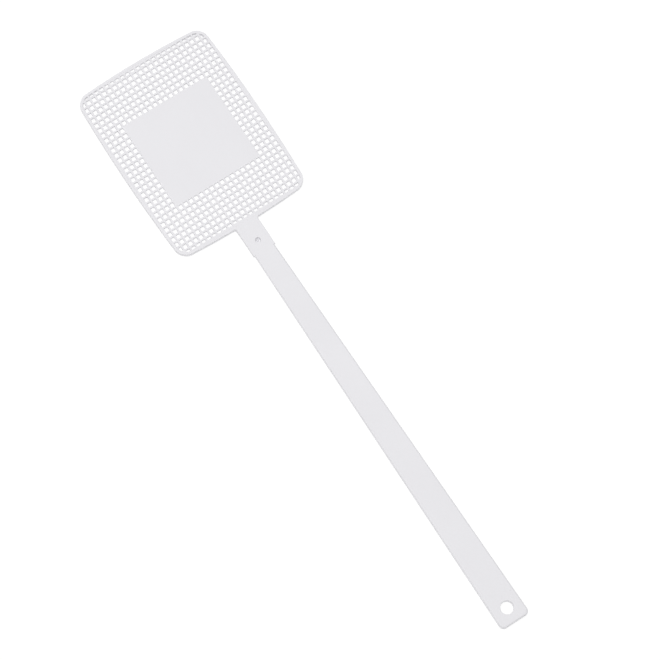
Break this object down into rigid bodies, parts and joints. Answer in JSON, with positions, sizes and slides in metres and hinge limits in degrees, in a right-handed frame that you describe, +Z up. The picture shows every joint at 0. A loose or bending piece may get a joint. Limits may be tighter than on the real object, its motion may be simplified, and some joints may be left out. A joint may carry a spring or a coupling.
{
  "type": "fly swatter",
  "caption": "Flat plastic fly swatter: a framed mesh head with a solid striking panel on a long springy blade handle with a hanging hole.",
  "frame": {"origin": "under the middle of the swatter, on the surface that it lies on", "axes": "+Y from the handle's end to the head's tip, +X across the blade, +Z up, out of the flat face"},
  "size_m": [0.1006, 0.442, 0.0036],
  "materials": {
    "white_plastic": "satin moulded polypropylene"
  },
  "bodies": {
    "handle": {"hanging_eye": "white_plastic", "handle_blade": "white_plastic", "flex_blade": "white_plastic"},
    "head": {"neck_tongue": "white_plastic", "head_rim": "white_plastic", "striking_panel": "white_plastic", "tip_mesh": "white_plastic", "neck_mesh": "white_plastic", "left_mesh": "white_plastic", "right_mesh": "white_plastic"}
  },
  "joints": [
    {"name": "blade_flex", "type": "hinge", "parent": "handle", "child": "head", "pos_m": [0, 0.0332, 0.0018], "axis": [1, 0, 0], "range_deg": [0, 20], "stiffness_Nm_per_rad": 0.6, "deforming": ["flex_blade"]}
  ]
}
